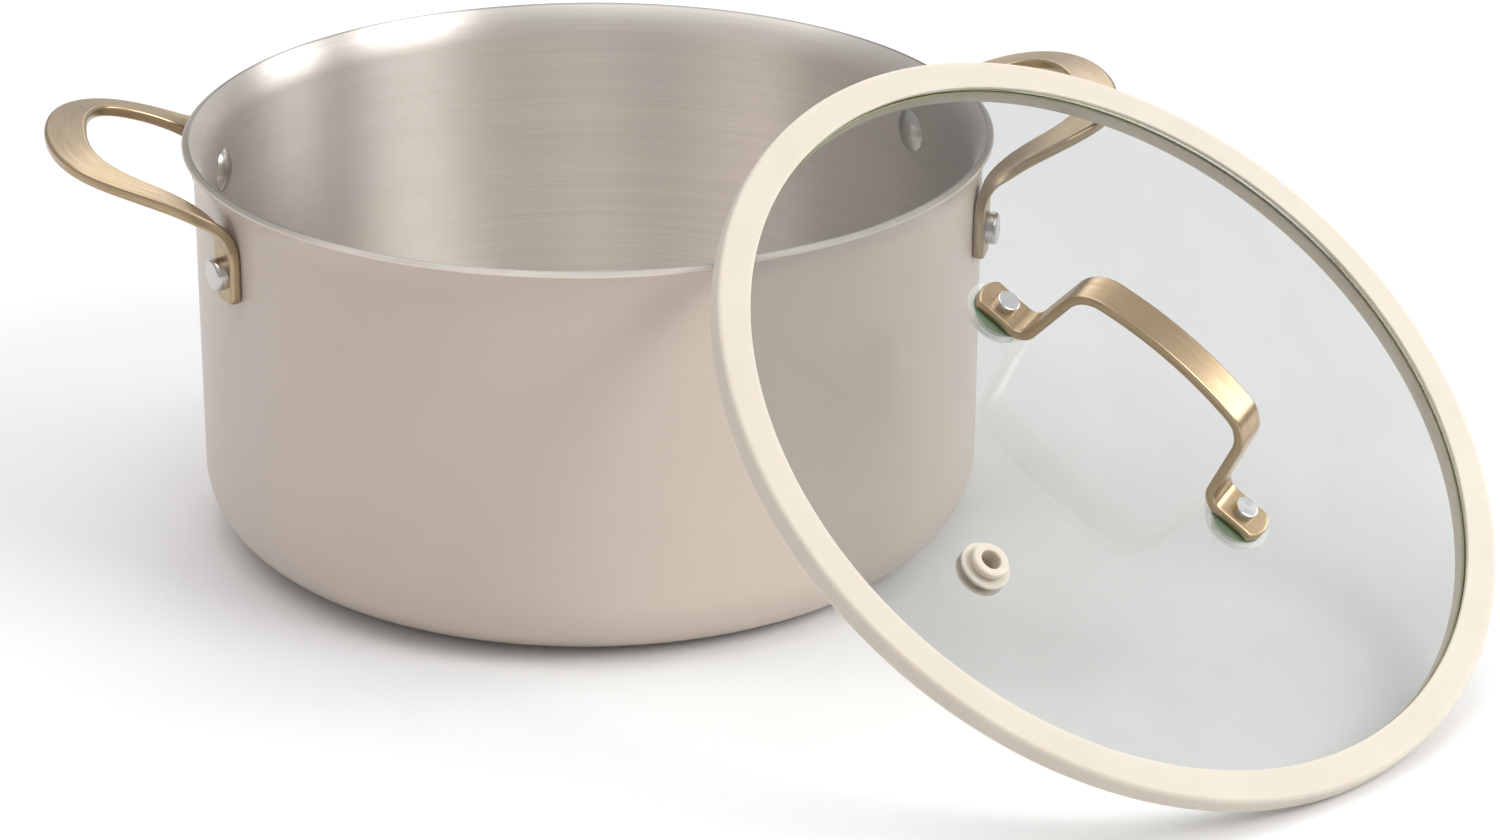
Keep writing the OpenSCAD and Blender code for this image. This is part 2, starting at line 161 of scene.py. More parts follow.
class Nodes:
    """A material's node tree with short calls for making and wiring nodes."""

    def __init__(self, name):
        self.mat = bpy.data.materials.new(name)
        self.mat.use_nodes = True
        self.tree = self.mat.node_tree
        self.bsdf = self.tree.nodes["Principled BSDF"]
        self.out = self.tree.nodes["Material Output"]

    def add(self, kind, inputs=None, **props):
        node = self.tree.nodes.new(kind)
        for key, value in props.items():
            setattr(node, key, value)
        for key, value in (inputs or {}).items():
            self.put(node.inputs[key], value)
        return node

    def put(self, socket, value):
        if isinstance(value, bpy.types.NodeSocket):
            self.tree.links.new(value, socket)
        else:
            socket.default_value = value

    def math(self, operation, a, b=0.0):
        return self.add("ShaderNodeMath", {0: a, 1: b}, operation=operation).outputs[0]

    def coord(self, output="Object"):
        return self.add("ShaderNodeTexCoord").outputs[output]

    def split(self, vector):
        return self.add("ShaderNodeSeparateXYZ", {0: vector}).outputs

    def join(self, x, y, z):
        return self.add("ShaderNodeCombineXYZ", {0: x, 1: y, 2: z}).outputs[0]

    def scaled(self, vector, scale):
        return self.add("ShaderNodeMapping", {"Vector": vector, "Scale": scale}).outputs[0]

    def noise(self, vector, scale, detail, rough):
        return self.add("ShaderNodeTexNoise", {
            "Vector": vector, "Scale": scale, "Detail": detail, "Roughness": rough}).outputs[0]

    def span(self, value, low, high, to_low, to_high):
        """The value's range low..high, moved to to_low..to_high and clamped there."""
        return self.add("ShaderNodeMapRange", {
            "Value": value, "From Min": low, "From Max": high,
            "To Min": to_low, "To Max": to_high}).outputs[0]

    def blend(self, a, share_a, b):
        """share_a of a and the rest of b."""
        return self.math("ADD", self.math("MULTIPLY", a, share_a),
                         self.math("MULTIPLY", b, round(1 - share_a, 6)))

    def mix(self, factor, a, b):
        node = self.add("ShaderNodeMix", data_type="RGBA")
        self.put(node.inputs[0], factor)
        self.put(node.inputs[6], (*a, 1) if isinstance(a, tuple) else a)
        self.put(node.inputs[7], (*b, 1) if isinstance(b, tuple) else b)
        return node.outputs[2]

    def bump(self, height, distance, strength):
        return self.add("ShaderNodeBump", {
            "Height": height, "Distance": distance, "Strength": strength}).outputs[0]

    def add_shadow_gap(self, tint):
        """Light falls straight through the surface, tinted, so that its shadow is pale."""
        clear = self.add("ShaderNodeBsdfTransparent", {"Color": tint})
        shadow = self.add("ShaderNodeLightPath").outputs["Is Shadow Ray"]
        mix = self.add("ShaderNodeMixShader", {
            0: shadow, 1: self.bsdf.outputs[0], 2: clear.outputs[0]})
        self.put(self.out.inputs["Surface"], mix.outputs[0])

    def set(self, **values):
        """Sets or links the surface's inputs; an underscore stands for a space in a name."""
        for key, value in values.items():
            self.put(self.bsdf.inputs[key.replace("_", " ")], value)

    def polar(self, vector, around):
        """A vector on which a noise runs round Z with no seam: the direction away from Z, times
        around, as x and y, and r + z as z. Also r, the distance from Z."""
        x, y, z = self.split(vector)
        r = self.math("SQRT", self.math("ADD", self.math("MULTIPLY", x, x),
                                        self.math("MULTIPLY", y, y)))
        safe = self.math("MAXIMUM", r, 1e-5)
        return self.join(self.math("MULTIPLY", self.math("DIVIDE", x, safe), around),
                         self.math("MULTIPLY", self.math("DIVIDE", y, safe), around),
                         self.math("ADD", r, z)), r


# ---------------------------------------------------------------------------
# Materials. Most colours come as a darker and a lighter shade, for a noise to move between.
# ---------------------------------------------------------------------------

def srgb(r, g, b):
    """A colour read off as 0 to 255, in the linear values that the shaders take."""
    def one(c):
        c /= 255
        return c / 12.92 if c <= 0.04045 else ((c + 0.055) / 1.055) ** 2.4
    return (one(r), one(g), one(b))


COAT_DARK, COAT_LIGHT, COAT_FLECK = srgb(193, 179, 167), srgb(198, 184, 172), srgb(179, 164, 150)
LINER_STEEL, CORE_ALUMINIUM = srgb(232, 226, 220), srgb(192, 187, 180)
RIVET_STEEL, STUD_STEEL = srgb(206, 203, 199), srgb(222, 222, 222)
GOLD_DARK, GOLD_LIGHT, GOLD_CLOUD = srgb(154, 133, 103), srgb(197, 176, 147), srgb(174, 152, 120)
RING_DARK, RING_LIGHT = srgb(203, 195, 182), srgb(208, 200, 187)
GREEN_DARK, GREEN_LIGHT = srgb(92, 112, 86), srgb(104, 124, 96)
GLASS_DARK, GLASS_LIGHT, GLASS_EDGE = srgb(211, 213, 212), srgb(215, 217, 216), srgb(184, 190, 150)
GLASS_SHADOW = (0.93, 0.94, 0.935, 1)
GLASS_IOR = 1.5
CLEAR_DARK, CLEAR_LIGHT = srgb(226, 232, 222), srgb(238, 242, 234)
FLOOR_DARK, FLOOR_LIGHT = srgb(232, 232, 233), srgb(234, 234, 235)
# How far the surfaces' fine grain stands up
PEEL_H, HAIR_H, GRAIN_H, WAVE_H = 0.00004, 0.00003, 0.00002, 0.00004


def cream_coat():
    """Sprayed ceramic-like coat: satin, with a fine orange peel and faint speckle."""
    n = Nodes("cream_coat")
    p = n.coord()
    cloud = n.noise(p, scale=14, detail=3, rough=0.55)
    fleck = n.noise(p, scale=2600, detail=2, rough=0.6)
    colour = n.mix(n.span(cloud, 0.3, 0.7, 0, 1), COAT_DARK, COAT_LIGHT)
    colour = n.mix(n.span(fleck, 0.62, 0.8, 0, 0.35), colour, COAT_FLECK)
    peel = n.noise(p, scale=900, detail=2, rough=0.5)
    n.set(Base_Color=colour, Roughness=n.span(cloud, 0.3, 0.7, 0.36, 0.42),
          Normal=n.bump(peel, PEEL_H, 0.5),
          Coat_Weight=0.25, Coat_Roughness=0.22, Specular_IOR_Level=0.45)
    return n.mat


def turned_metal(name, tint, around, pitch, rough, aniso, lip_shade_z=None):
    """Metal brushed round Z: streaks that run round, highlights that stand up. The streaks are
    shorter for a larger around and closer for a larger pitch. Given a height, the colour above it
    is darkened: painted shade, standing for the darker reflection of the pot's lip."""
    n = Nodes(name)
    x, y, z = n.split(n.polar(n.coord(), around)[0])
    hair = n.noise(n.join(x, y, n.math("MULTIPLY", z, pitch)), scale=1.0, detail=3, rough=0.7)
    coarse = n.join(n.math("MULTIPLY", x, 0.4), n.math("MULTIPLY", y, 0.4),
                    n.math("MULTIPLY", z, pitch * 0.17))
    band = n.noise(coarse, scale=1.0, detail=3, rough=0.6)
    both = n.blend(hair, 0.65, band)
    dark = tuple(c * 0.88 for c in tint)
    colour = n.mix(n.span(both, 0.35, 0.65, 0, 1), dark, tint)
    if lip_shade_z is not None:
        # painted shade: the colour over the top band is darkened for the lip's darker reflection
        lip = tuple(c * LIP_PAINTED_SHADE for c in tint)
        height = n.split(n.coord())[2]
        colour = n.mix(n.span(height, lip_shade_z, lip_shade_z + LIP_SHADE_FADE, 0, 1), colour, lip)
    tangent = n.add("ShaderNodeTangent", direction_type="RADIAL", axis="Z").outputs[0]
    n.set(Base_Color=colour, Metallic=1.0,
          Roughness=n.span(both, 0.3, 0.7, rough + 0.06, rough - 0.05),
          Normal=n.bump(hair, HAIR_H, 0.35),
          Tangent=tangent, Anisotropic=aniso, Anisotropic_Rotation=0.25)
    return n.mat


def brushed_gold():
    """Champagne-gold bar stock, brushed along its length. U runs along it and V round it,
    both in metres."""
    n = Nodes("champagne_gold")
    uv = n.coord("UV")
    hair = n.noise(n.scaled(uv, (90, 5200, 1)), scale=1.0, detail=3, rough=0.65)
    streak = n.noise(n.scaled(uv, (30, 900, 1)), scale=1.0, detail=2, rough=0.5)
    cloud = n.noise(n.coord(), scale=60, detail=2, rough=0.5)
    both = n.blend(hair, 0.6, streak)
    colour = n.mix(n.span(both, 0.32, 0.68, 0, 1), GOLD_DARK, GOLD_LIGHT)
    colour = n.mix(n.span(cloud, 0.35, 0.65, 0, 0.25), colour, GOLD_CLOUD)
    tangent = n.add("ShaderNodeTangent", direction_type="UV_MAP").outputs[0]
    n.set(Base_Color=colour, Metallic=1.0, Roughness=n.span(both, 0.3, 0.7, 0.36, 0.25),
          Normal=n.bump(hair, HAIR_H, 0.4),
          Tangent=tangent, Anisotropic=0.45, Anisotropic_Rotation=0.25)
    return n.mat


def silicone(name, light, dark, rough, weight):
    """Moulded silicone: even colour with a dusty, finely pitted surface. Weight is how much
    light scatters under it."""
    n = Nodes(name)
    p = n.coord()
    cloud = n.noise(p, scale=40, detail=3, rough=0.6)
    grain = n.noise(p, scale=3800, detail=2, rough=0.6)
    n.set(Base_Color=n.mix(n.span(cloud, 0.3, 0.7, 0, 1), dark, light),
          Roughness=n.span(grain, 0.3, 0.7, rough - 0.05, rough + 0.06),
          Normal=n.bump(grain, GRAIN_H, 0.4), Specular_IOR_Level=0.4,
          Subsurface_Weight=weight, Subsurface_Radius=(0.004, 0.0032, 0.0024),
          Subsurface_Scale=1.0)
    return n.mat


def clear_glass():
    """Tempered float glass, a trace rougher where it has been handled and green at its cut
    edge. Its shadow lets light through."""
    n = Nodes("lid_glass")
    smear = n.noise(n.coord(), scale=22, detail=3, rough=0.6)
    wave = n.noise(n.coord(), scale=9, detail=1, rough=0.4)
    tint = n.mix(n.span(smear, 0.35, 0.65, 0, 1), GLASS_DARK, GLASS_LIGHT)
    r = n.polar(n.coord(), 1.0)[1]
    edge = n.span(r, PANE_TINT_R, PANE_TINT_R + PANE_TINT_FADE, 0, 1)
    n.set(Base_Color=n.mix(edge, tint, GLASS_EDGE),
          Roughness=n.span(smear, 0.45, 0.75, 0.0, 0.008),
          Normal=n.bump(wave, WAVE_H, 0.2), IOR=GLASS_IOR, Transmission_Weight=1.0)
    n.add_shadow_gap(GLASS_SHADOW)
    return n.mat


def clear_silicone():
    """Clear silicone washers and sleeves: almost unseen face on, milkier towards their edges."""
    n = Nodes("clear_silicone")
    grain = n.noise(n.coord(), scale=1800, detail=2, rough=0.6)
    edge = n.add("ShaderNodeLayerWeight", {"Blend": 0.35}).outputs["Facing"]
    n.set(Base_Color=n.mix(n.span(grain, 0.3, 0.7, 0, 1), CLEAR_DARK, CLEAR_LIGHT),
          Roughness=n.span(grain, 0.3, 0.7, 0.12, 0.22), Normal=n.bump(grain, GRAIN_H, 0.3),
          Alpha=n.span(edge, 0.1, 0.9, 0.12, 0.6), Specular_IOR_Level=0.4)
    return n.mat


def floor_paint():
    """Seamless pale studio floor."""
    n = Nodes("floor")
    speck = n.noise(n.coord(), scale=30, detail=3, rough=0.5)
    n.set(Base_Color=n.mix(speck, FLOOR_DARK, FLOOR_LIGHT), Roughness=0.7,
          Specular_IOR_Level=0.25)
    return n.mat


SLOT_MATERIALS = {
    "cream_coat": cream_coat(),
    # the liner's top band gets painted shade for the lip's darker reflection
    "brushed_steel": turned_metal(
        "brushed_steel", LINER_STEEL, around=1.3, pitch=2600, rough=0.4, aniso=0.88,
        lip_shade_z=POT_H - LIP_SHADE_H),
    "aluminium_core": turned_metal(
        "aluminium_core", CORE_ALUMINIUM, around=5.0, pitch=2200, rough=0.5, aniso=0.6),
    "rivet_steel": turned_metal(
        "rivet_steel", RIVET_STEEL, around=4.0, pitch=5200, rough=0.2, aniso=0.3),
    "stud_steel": turned_metal(
        "stud_steel", STUD_STEEL, around=3.0, pitch=7000, rough=0.22, aniso=0.4),
    "champagne_gold": brushed_gold(),
    "cream_silicone": silicone("cream_silicone", RING_LIGHT, RING_DARK, rough=0.48, weight=0.5),
    "green_silicone": silicone("green_silicone", GREEN_LIGHT, GREEN_DARK, rough=0.5, weight=0.05),
    "clear_silicone": clear_silicone(),
    "lid_glass": clear_glass(),
}
NODE_SLOT = {s["node"]: s["material_slot"] for s in RECORD["subparts"]}


# ---------------------------------------------------------------------------
# Mesh helpers
# ---------------------------------------------------------------------------

def arc(cx, cy, r, a0, a1, n):
    """n + 1 points of an arc from angle a0 to angle a1, in degrees."""
    angles = [math.radians(a0 + (a1 - a0) * i / n) for i in range(n + 1)]
    return [(cx + r * math.cos(a), cy + r * math.sin(a)) for a in angles]


def rounded(points, n=5, hold=0.15 * MM):
    """A closed outline from (x, y, corner radius) points, its corners rounded. A point just
    outside each rounded corner holds the shading of the flat run beside it flat."""
    out = []
    for i, (x, y, r) in enumerate(points):
        p = Vector((x, y))
        a = Vector(points[i - 1][:2]) - p
        b = Vector(points[(i + 1) % len(points)][:2]) - p
        if r <= 0 or a.length < 1e-9 or b.length < 1e-9:
            out.append((x, y))
            continue
        run_a, run_b = a.length, b.length
        a.normalize()
        b.normalize()
        half = a.angle(b) / 2
        cut = r / math.tan(half)
        if run_a > 2.5 * (cut + hold):
            out.append(tuple(p + a * (cut + hold)))
        c = p + (a + b).normalized() * (r / math.sin(half))
        u, v = p + a * cut - c, p + b * cut - c
        total = u.angle(v)
        for k in range(n + 1):
            t = k / n
            w = (math.sin((1 - t) * total) * u + math.sin(t * total) * v) / math.sin(total)
            out.append(tuple(c + w))
        if run_b > 2.5 * (cut + hold):
            out.append(tuple(p + b * (cut + hold)))
    return out


def make(name, node, verts, faces, uv=None, matrix=None):
    """A smooth-shaded mesh that stands for a CAD node, rides on its body and takes its slot."""
    mesh = bpy.data.meshes.new(name)
    mesh.from_pydata([tuple(v) for v in verts], [], faces)
    mesh.validate()
    if uv is not None:
        layer = mesh.uv_layers.new(name="UVMap")
        for loop in mesh.loops:
            layer.data[loop.index].uv = uv[loop.vertex_index]
    mesh.shade_smooth()
    mesh.set_sharp_from_angle(angle=SHARP)
    obj = bpy.data.objects.new(name, mesh)
    bpy.context.scene.collection.objects.link(obj)
    if matrix is not None:
        obj.matrix_world = matrix
    slot = NODE_SLOT[node]
    mesh.materials.append(SLOT_MATERIALS[slot])
    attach(obj, next(b for b, m in RECORD["behaviour"]["bodies"].items() if node in m))
    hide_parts(node)
    return obj


def revolve(profile, segments):
    """Vertices and faces of a closed (r, z) outline turned about Z. The outline runs
    anticlockwise with r to the right and z up, so that faces point outward."""
    verts, rows = [], []
    for r, z in profile:
        if r < 1e-8:
            rows.append([len(verts)] * segments)
            verts.append((0, 0, z))
        else:
            start = len(verts)
            rows.append(list(range(start, start + segments)))
            verts += [(r * math.cos(2 * math.pi * k / segments),
                       r * math.sin(2 * math.pi * k / segments), z) for k in range(segments)]
    faces = []
    for j in range(len(rows)):
        a, b = rows[j], rows[(j + 1) % len(rows)]
        for k in range(segments):
            q = (k + 1) % segments
            ring = [a[k], a[q], b[q], b[k]]
            face = [v for i, v in enumerate(ring) if v != ring[i - 1]]
            if len(face) > 2:
                faces.append(face)
    return verts, faces


# ---------------------------------------------------------------------------
# Pot
# ---------------------------------------------------------------------------

def wall_line(depth, corner_steps=20, wall_steps=8, flare_steps=16):
    """The (r, z) line of the wall at a depth below the outside, from the axis to the rim."""
    line = [(0.0, depth)]
    line += arc(POT_R - BASE_R, BASE_R, BASE_R - depth, -90, 0, corner_steps)
    line += [(POT_R - depth, BASE_R + (FLARE_Z - BASE_R) * k / wall_steps)
             for k in range(1, wall_steps)]
    line += arc(POT_R + FLARE_R, FLARE_Z, FLARE_R + depth, 180, 180 - math.degrees(FLARE_A),
                flare_steps)
    return line


def shell(name, node, low, high, edge_low, edge_high):
    """One layer of the wall, from depth low to depth high. Its cut edge at the rim is eased
    by a radius at each corner."""
    outer, inner = wall_line(low), wall_line(high)
    a, b = Vector(outer[-1]), Vector(inner[-1])
    across = (b - a).normalized()
    down_a = (Vector(outer[-2]) - a).normalized()
    down_b = (Vector(inner[-2]) - b).normalized()
    lip = []
    for corner, inward, down, r in ((a, across, down_a, edge_low),
                                    (b, -across, down_b, edge_high)):
        centre = corner + inward * r + down * r
        steps = 5 if r > 0 else 0
        turns = [math.pi / 2 * k / max(steps, 1) for k in range(steps + 1)]
        pts = [tuple(centre - inward * r * math.cos(t) - down * r * math.sin(t)) for t in turns]
        lip += pts if inward == across else pts[::-1]
    make(name, node, *revolve(outer[:-1] + lip + inner[-2::-1], POT_SEGMENTS))


shell("pot_coat", "outer_shell", 0, SKIN, RIM_EASE, 0)
shell("pot_core", "aluminium_core", SKIN, SKIN + CORE, 0, 0)
shell("pot_liner", "inner_liner", SKIN + CORE, WALL, 0, RIM_EASE)


# ---------------------------------------------------------------------------
# Bars: flat stock with eased edges and rounded ends, bent along a path
# ---------------------------------------------------------------------------

def cubic(a, b, c, d, t):
    """A point of a Bezier curve from a to d, pulled by b and c."""
    return (1 - t) ** 3 * a + 3 * (1 - t) ** 2 * t * b + 3 * (1 - t) * t * t * c + t ** 3 * d


def smooth(t):
    """0 to 1 with a soft start and a soft stop."""
    t = min(1.0, max(0.0, t))
    return t * t * (3 - 2 * t)


class Path:
    """Points with a width direction and a face direction, read by distance along."""

    def __init__(self, points, wide, face, widths):
        self.p, self.w, self.f = (np.array(x, float) for x in (points, wide, face))
        self.width = np.array(widths, float)
        step = np.linalg.norm(np.diff(self.p, axis=0), axis=1)
        self.s = np.concatenate([[0], np.cumsum(step)])
        self.length = float(self.s[-1])

    def at(self, s, y, h):
        """Point at distance s, y (a share of the half width) across and h above the middle."""
        def pick(values):
            return np.array([np.interp(s, self.s, values[:, k]) for k in range(3)])
        w, f = pick(self.w), pick(self.f)
        half = np.interp(s, self.s, self.width) / 2
        return pick(self.p) + w / np.linalg.norm(w) * y * half + f / np.linalg.norm(f) * h


def edge_rows(thick, edge, steps):
    """(inset, height) of the outlines that go from the upper face's rim, over a bar's side,
    to the lower face's rim."""
    flat = thick / 2 - edge
    turns = [math.pi / 2 - math.pi * k / (2 * steps) for k in range(2 * steps + 1)]
    upper = [(edge * (1 - math.cos(a)), flat + edge * math.sin(a)) for a in turns[:steps]]
    lower = [(edge * (1 - math.cos(a)), edge * math.sin(a) - flat) for a in turns[steps + 1:]]
    return upper + [(0.0, flat), (0.0, 0.0), (0.0, -flat)] + lower


def bar(path, thick, edge, stations, corner=0.0, end_r=0.0, edge_steps=5, corner_steps=10,
        across=6):
    """Mesh of a bar: nested outlines that step in and up over the edge, then a face of quads
    on each side. Its ends have two corners of a radius, or are one arc of radius end_r.
    Returns vertices, faces and UVs (along, round)."""
    length = path.length
    half = float(path.width[0]) / 2
    rows = edge_rows(thick, edge, edge_steps)
    # one arc's two parts share a point, which is left out of the first
    drop = 1 if end_r else 0

    def corner_points(quarter, inset):
        far, upper = quarter in (0, 3), quarter in (0, 1)
        if end_r:
            r = end_r - inset
            meet = math.degrees(math.asin((half - inset) / r))
            cx = length - end_r if far else end_r
            a0, a1 = ((0, meet), (180 - meet, 180), (180, 180 + meet), (360 - meet, 360))[quarter]
            return arc(cx, 0, r, a0, a1, corner_steps)
        cx = length - corner if far else corner
        cy = half - corner if upper else corner - half
        return arc(cx, cy, corner - inset, 90 * quarter, 90 * quarter + 90, corner_steps)

    def outline(inset):
        pts = corner_points(0, inset)
        pts += [(s, half - inset) for s in stations[::-1]]
        pts += corner_points(1, inset)[:corner_steps + 1 - drop]
        pts += corner_points(2, inset)
        pts += [(s, inset - half) for s in stations]
        pts += corner_points(3, inset)[:corner_steps + 1 - drop]
        return pts

    verts, uvs, faces, index = [], [], [], []
    run = 0.0
    for j, (inset, height) in enumerate(rows):
        row = []
        if j:
            run += math.hypot(inset - rows[j - 1][0], height - rows[j - 1][1])
        for s, y in outline(inset):
            row.append(len(verts))
            verts.append(path.at(s, y / half, height))
            uvs.append((s, (1 if y >= 0 else -1) * (half + run)))
        index.append(row)
    count = len(index[0])
    for a, b in zip(index, index[1:]):
        for k in range(count):
            q = (k + 1) % count
            faces.append((a[k], a[q], b[q], b[k]))

    # upper and lower face: the straight part in quads, each end as one polygon
    n = len(stations)
    c1 = corner_steps + 1
    near_at = c1 + n
    low_at = near_at + c1 - drop + c1
    top_inset = rows[0][0]
    turn_in = corner
    if end_r:
        turn_in = end_r - math.sqrt((end_r - top_inset) ** 2 - (half - top_inset) ** 2)
    for row, up in ((index[0], 1), (index[-1], -1)):
        height = rows[0][1] * up
        upper = row[c1 - 1:near_at + 1]
        lower = row[low_at - 1:low_at + n + 1][::-1]
        edge_s = [length - turn_in] + list(stations[::-1]) + [turn_in]
        y_edge = half - top_inset
        grid = []
        for i, s in enumerate(edge_s):
            line = [upper[i]]
            for m in range(1, across):
                y = y_edge * (1 - 2 * m / across)
                line.append(len(verts))
                verts.append(path.at(s, y / half, height))
                uvs.append((s, y))
            line.append(lower[i])
            grid.append(line)
        for g, h in zip(grid, grid[1:]):
            for m in range(across):
                quad = (g[m], g[m + 1], h[m + 1], h[m])
                faces.append(quad if up < 0 else quad[::-1])
        near = row[near_at:low_at]
        far = row[low_at + n:] + row[:c1]
        end_near = near + grid[-1][1:-1][::-1]
        end_far = far + grid[0][1:-1]
        faces.append(end_near[::-1] if up < 0 else end_near)
        faces.append(end_far[::-1] if up < 0 else end_far)
    return verts, faces, uvs


def pot_handle_path(foot_n=6, bend_n=26, leg_n=60):
    """Centre line of a pot handle: foot, bend, leg, tip, and back down the other side."""
    radius = POT_R + BAR_T / 2
    fx, fy = radius * math.cos(FOOT_ANGLE), radius * math.sin(FOOT_ANGLE)
    low, top = Vector((fx, fy, FOOT_Z)), Vector((fx, fy, LEAVE_Z))
    knee = top + BEND
    way = Vector((math.cos(LEG_RISE) * math.cos(LEG_TURN),
                  math.cos(LEG_RISE) * math.sin(LEG_TURN), math.sin(LEG_RISE)))
    tip = Vector((POT_R + REACH, 0, TIP_Z))
    up, side = Vector((0, 0, 1)), Vector((0, 1, 0))
    half = [low.lerp(top, i / foot_n) for i in range(foot_n)]
    half += [cubic(top, top + up * BEND_IN, knee - way * BEND_OUT, knee, i / bend_n)
             for i in range(bend_n)]
    half += [cubic(knee, knee + way * LEG_OUT, tip + side * TIP_IN, tip, i / leg_n)
             for i in range(leg_n + 1)]
    last = len(half) - 1
    wide, face, widths = [], [], []
    for i, p in enumerate(half):
        t = (half[min(i + 1, last)] - half[max(i - 1, 0)]).normalized()
        if i == last:
            t = Vector((0, -1, 0))
        # the width lies along the wall at the foot and turns across the leg past the bend
        f = smooth((i - foot_n - 0.5 * bend_n) / (1.2 * bend_n))
        a = math.pi / 2 + FOOT_ANGLE
        if i > foot_n:
            a = a * (1 - f) + (math.pi / 2 + math.atan2(t.y, t.x)) * f
        w = Vector((math.cos(a), math.sin(a), 0))
        w = (w - w.dot(t) * t).normalized()
        q = max(0, i - foot_n) / (last - foot_n)
        wide.append(w)
        face.append(w.cross(t))
        widths.append(FOOT_W * (1 - q) * (1 - 2 * q) + 4 * LEG_W * q * (1 - q)
                      + TIP_W * q * (2 * q - 1))

    def there_and_back(vectors):
        return vectors + [Vector((v.x, -v.y, v.z)) for v in vectors[-2::-1]]
    return Path(there_and_back(half), there_and_back(wide), there_and_back(face),
                widths + widths[-2::-1])


SIDES = (("right", 0), ("left", math.pi))
handle_path = pot_handle_path()
handle_mesh = bar(
    handle_path, BAR_T, HANDLE_EDGE,
    [handle_path.length * (0.02 + 0.96 * k / 150) for k in range(151)], corner=HANDLE_CORNER)
for side, turn in SIDES:
    make("loop_handle_" + side, "handle_" + side, *handle_mesh, Matrix.Rotation(turn, 4, "Z"))


# ---------------------------------------------------------------------------
# Rivets: local Z points out through the wall
# ---------------------------------------------------------------------------

def rivet_profile():
    """(r, z) outline of a rivet, z up from the outer face of the handle's foot; and how far
    that face is from the pot's axis."""
    seat = math.sqrt((POT_R - WALL) ** 2 - (RIVET_IN_D / 2) ** 2)
    outer = POT_R + BAR_T
    dome = ((RIVET_IN_D / 2) ** 2 + RIVET_IN_H ** 2) / (2 * RIVET_IN_H)
    span = math.degrees(math.asin(RIVET_IN_D / 2 / dome))
    low = seat - RIVET_IN_H
    points = arc(0, low + dome, dome, -90, -90 + span, 14)
    points[-1] = (RIVET_IN_D / 2, seat)
    points += [(RIVET_IN_D / 2 - 0.1 * MM, seat), (RIVET_D / 2, seat), (RIVET_D / 2, outer)]
    points += [(RIVET_OUT_D / 2, outer)]
    points += arc(RIVET_OUT_D / 2 - RIVET_OUT_EDGE, outer + RIVET_OUT_H - RIVET_OUT_EDGE,
                  RIVET_OUT_EDGE, 0, 90, 8)
    points += [(0, outer + RIVET_OUT_H)]
    return [(r, z - outer) for r, z in points], outer


rivet_outline, rivet_out = rivet_profile()
rivet_mesh = revolve(rivet_outline, PIN_SEGMENTS)
for side, _ in SIDES:
    for end in ("front", "rear"):
        node = "rivet_%s_%s" % (side, end)
        mid = box_mid(node)
        place = (Matrix.Rotation(math.atan2(mid.y, mid.x), 4, "Z")
                 @ Matrix.Translation((rivet_out, 0, mid.z))
                 @ Matrix.Rotation(math.pi / 2, 4, "Y"))
        make(node + "_head", node, *rivet_mesh, matrix=place)


# ---------------------------------------------------------------------------
# Lid
# ---------------------------------------------------------------------------

def turned(name, node, outline, segments, x=0.0, y=0.0):
    """A turned piece of the lid, its axis at (x, y) in the lid's own frame. The outline is
    (r, z, corner radius) points."""
    make(name, node, *revolve(rounded(outline), segments),
         matrix=LID @ Matrix.Translation((x, y, 0)))


turned("lid_ring", "lid_rim", [
    (BAND_R, -SKIRT_H, 0.5 * MM), (BAND_R + SKIRT_T, -SKIRT_H, 0.6 * MM),
    (BAND_R + SKIRT_T, -RING_H, 0.5 * MM), (LID_R, -RING_H, 1.4 * MM), (LID_R, 0, 1.4 * MM),
    (BAND_R, 0, 0.35 * MM), (BAND_R, -GLASS_DROP, 0), (PANE_R, -GLASS_DROP, 0),
    (PANE_R, -GLASS_LOW, 0), (BAND_R, -GLASS_LOW, 0)], RING_SEGMENTS)

turned("lid_pane", "lid_glass", [
    (0, -GLASS_LOW + SEAT, 0), (PANE_R - SEAT, -GLASS_LOW + SEAT, 0.5 * MM),
    (PANE_R - SEAT, -GLASS_DROP - SEAT, 0.5 * MM), (0, -GLASS_DROP - SEAT, 0)], PANE_SEGMENTS)


def strap_path():
    """Side view of the lid handle's strap, from foot to foot."""
    mid = STRAP_T / 2
    top = STRAP_H - mid
    end_x = STUD_X - STRAP_INSET - SHOULDER
    arch = (end_x ** 2 + CROWN ** 2) / (2 * CROWN)
    sweep = math.asin(end_x / arch)
    lean = math.radians(STRAP_LEAN_DEG)
    cx, cz = end_x - SHOULDER * math.sin(sweep), top - CROWN - SHOULDER * math.cos(sweep)
    drop = cz + SHOULDER * math.sin(lean) - mid - STRAP_BEND * (1 - math.sin(lean))
    foot_x = cx + (SHOULDER + STRAP_BEND) * math.cos(lean) + drop * math.tan(lean)
    sweep = math.degrees(sweep)
    half = arc(0, top - arch, arch, 90, 90 - sweep, 24)
    half += arc(cx, cz, SHOULDER, 90 - sweep, STRAP_LEAN_DEG, 20)[1:]
    half += arc(foot_x, mid + STRAP_BEND, STRAP_BEND, 180 + STRAP_LEAN_DEG, 270, 16)
    half += [(STUD_X, mid), (STUD_X + STRAP_END_R, mid)]
    line = [(-x, z) for x, z in half[:0:-1]] + half
    points = [Vector((x, 0, z)) for x, z in line]
    face = []
    for i in range(len(points)):
        t = (points[min(i + 1, len(points) - 1)] - points[max(i - 1, 0)]).normalized()
        face.append(Vector((-t.z, 0, t.x)))
    return Path(points, [Vector((0, 1, 0))] * len(points), face, [STRAP_W] * len(points))


strap_line = strap_path()
strap_mesh = bar(
    strap_line, STRAP_T, STRAP_EDGE,
    [5 * MM + (strap_line.length - 10 * MM) * k / 140 for k in range(141)], end_r=STRAP_END_R)
make("lid_strap", "lid_handle", *strap_mesh, LID @ Matrix.Translation((0, 0, 0)))

